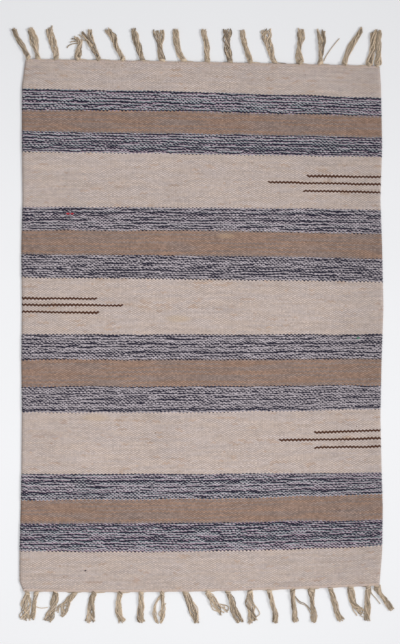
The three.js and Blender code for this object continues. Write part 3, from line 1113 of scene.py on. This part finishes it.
class KILIM_OT_weave_cloth(bpy.types.Operator):
    """Weaves the striped cloth"""

    bl_idname = "kilim.weave_cloth"
    bl_label = "Weave Cloth"

    def execute(self, context):
        sizes, colours = context.scene.kilim_sizes, context.scene.kilim_colours
        picks = pick_table(sizes)
        points, faces, weave, relief = cloth_shell(sizes, picks)
        piece = mesh_object("woven_cloth", points, faces)
        store(piece.data, "weave", "FLOAT_VECTOR", weave)
        store(piece.data, "relief", "FLOAT", relief * MM)
        material = cloth_material(sizes, colours, picks)
        through_tree(piece, weave_tree(), {"Relief": 1.0, "Material": material})
        baking_map(piece.data)
        declare(piece, "cloth", "rug")
        return {"FINISHED"}


CORD_ROWS = (-0.6, 1.4)  # mm in from the cloth's end
CORD_HEIGHT = 3.1  # mm up to the middle of the outer row
CORD_STEP = 0.4  # mm that the inner row lies higher
CORD_SHORT = 1.5  # mm that the cords end inside the selvedges
CORD_POINTS = 160
CORD_TURN = 9 * MM
CORD_TONE = 0.3


class KILIM_OT_twine_ends(bpy.types.Operator):
    """Twines the locking cord along both ends of the cloth"""

    bl_idname = "kilim.twine_ends"
    bl_label = "Twine Ends"

    def execute(self, context):
        sizes, colours = context.scene.kilim_sizes, context.scene.kilim_colours
        material = yarn_material("Locking cord", colours.cord, 0.35)
        half = half_of(sizes)
        values = {"Radius": sizes.cord_radius, "Turn": CORD_TURN, "Step": RING_STEP, "Material": material}
        for name, line, end in (("bottom", BOTTOM_END, -1), ("top", BANDS[-1], 1)):
            left, right = end_corners(line, half)
            strands = []
            for row, inwards in enumerate(CORD_ROWS):
                x = np.linspace(left + CORD_SHORT, right - CORD_SHORT, CORD_POINTS)
                y = line_at(line, np.clip(x, -half, half), half) - end * inwards
                points = np.column_stack([x, y, np.full_like(x, CORD_HEIGHT + CORD_STEP * row)])
                strands.append(strand(points, CORD_TONE - 0.1 * end + 0.1 * row))
            piece = spun_piece(f"locking_cord_{name}", strands, shared_tree("Plied yarn", yarn_tree), values)
            declare(piece, "cloth")
        return {"FINISHED"}


class KILIM_OT_knot_tassels(bpy.types.Operator):
    """Gathers the warps at both ends into knotted tassels"""

    bl_idname = "kilim.knot_tassels"
    bl_label = "Knot Tassels"

    def execute(self, context):
        sizes, colours = context.scene.kilim_sizes, context.scene.kilim_colours
        material = yarn_material("Warp yarn", colours.warp, 1.1)
        tree = shared_tree("Plied yarn", yarn_tree)
        tassel_row("top", TOP_TASSELS, BANDS[-1], 1, sizes, tree, material)
        tassel_row("bottom", BOTTOM_TASSELS, BOTTOM_END, -1, sizes, tree, material)
        return {"FINISHED"}


class KILIM_OT_lay_rug(bpy.types.Operator):
    bl_idname = "kilim.lay_rug"
    bl_label = "Lay Rug"

    def execute(self, context):
        return {"FINISHED"}


PHOTO_WIDTH, PHOTO_HEIGHT = 400, 644
PHOTO_PIXEL = 0.600 / 360  # metres in the photograph's plane: the cloth is 360 pixels wide
RUG_CENTRE_PIXEL = (202, 326)
CAMERA_HEIGHT = 2.4

SQUARE = ((-1, -1), (1, -1), (1, 1), (-1, 1))
FLOOR_REACH = 40000  # mm from the middle of the rug
KEY_FROM = (1.6, -0.05, 1.0)
KEY_STRENGTH = 1.78
KEY_SOFTNESS = math.radians(14)
OVERHEAD_FROM = (-0.03, -0.22, 1.1)
OVERHEAD_SIZE = (0.25, 1.3)
OVERHEAD_POWER = 5.0
BACKDROP_COLOUR = (0.93, 0.94, 0.96, 1)
BACKDROP_STRENGTH = 0.55


def add_lamp(scene, lamp, place):
    """Hangs a lamp at a place and turns it towards the line along the middle of the rug."""
    light = bpy.data.objects.new(lamp.name, lamp)
    light.location = place
    light.rotation_euler = Vector((-place[0], 0, -place[2])).to_track_quat("-Z", "Y").to_euler()
    scene.collection.objects.link(light)


class KILIM_OT_set_stage(bpy.types.Operator):
    """Lays the pale floor, the soft lights and the camera above the rug"""

    bl_idname = "kilim.set_stage"
    bl_label = "Set Stage"

    def execute(self, context):
        scene = context.scene
        corners = [(x * FLOOR_REACH, y * FLOOR_REACH, 0) for x, y in SQUARE]
        floor = mesh_object("floor", corners, [(0, 1, 2, 3)])
        floor.data.materials.append(floor_material(scene.kilim_colours))

        lens = bpy.data.cameras.new("camera")
        lens.lens = lens.sensor_width * CAMERA_HEIGHT / (PHOTO_HEIGHT * PHOTO_PIXEL)
        camera = bpy.data.objects.new("camera", lens)
        camera.location = (
            (PHOTO_WIDTH / 2 - RUG_CENTRE_PIXEL[0]) * PHOTO_PIXEL,
            (RUG_CENTRE_PIXEL[1] - PHOTO_HEIGHT / 2) * PHOTO_PIXEL,
            CAMERA_HEIGHT,
        )
        scene.collection.objects.link(camera)
        scene.camera = camera

        key = bpy.data.lights.new("key_light", "SUN")
        key.energy, key.angle = KEY_STRENGTH, KEY_SOFTNESS
        add_lamp(scene, key, KEY_FROM)
        fill = bpy.data.lights.new("overhead_light", "AREA")
        fill.energy, fill.shape = OVERHEAD_POWER, "RECTANGLE"
        fill.size, fill.size_y = OVERHEAD_SIZE
        add_lamp(scene, fill, OVERHEAD_FROM)

        world = bpy.data.worlds.new("studio")
        world.use_nodes = True
        backdrop = world.node_tree.nodes["Background"]
        backdrop.inputs["Color"].default_value = BACKDROP_COLOUR
        backdrop.inputs["Strength"].default_value = BACKDROP_STRENGTH
        scene.world = world
        scene.view_settings.view_transform = "Standard"
        return {"FINISHED"}


STEPS = (
    KILIM_OT_weave_cloth,
    KILIM_OT_twine_ends,
    KILIM_OT_knot_tassels,
    KILIM_OT_lay_rug,
    KILIM_OT_set_stage,
)


class KILIM_PT_steps(bpy.types.Panel):
    """Lists the steps of making the rug"""

    bl_label = "Kilim Rug"
    bl_space_type = "VIEW_3D"
    bl_region_type = "UI"
    bl_category = "Kilim Rug"

    def draw(self, context):
        for step in STEPS:
            self.layout.operator(step.bl_idname)
        for group in (context.scene.kilim_sizes, context.scene.kilim_colours):
            for name in group.__annotations__:
                self.layout.prop(group, name)


CLASSES = (RugSizes, RugColours, *STEPS, KILIM_PT_steps)


def register():
    for each in CLASSES:
        bpy.utils.register_class(each)
    bpy.types.Scene.kilim_sizes = bpy.props.PointerProperty(type=RugSizes)
    bpy.types.Scene.kilim_colours = bpy.props.PointerProperty(type=RugColours)


def unregister():
    del bpy.types.Scene.kilim_sizes
    del bpy.types.Scene.kilim_colours
    for each in reversed(CLASSES):
        bpy.utils.unregister_class(each)


def main():
    register()
    for step in STEPS:
        group, _, name = step.bl_idname.partition(".")
        getattr(getattr(bpy.ops, group), name)()


if __name__ == "__main__":
    main()
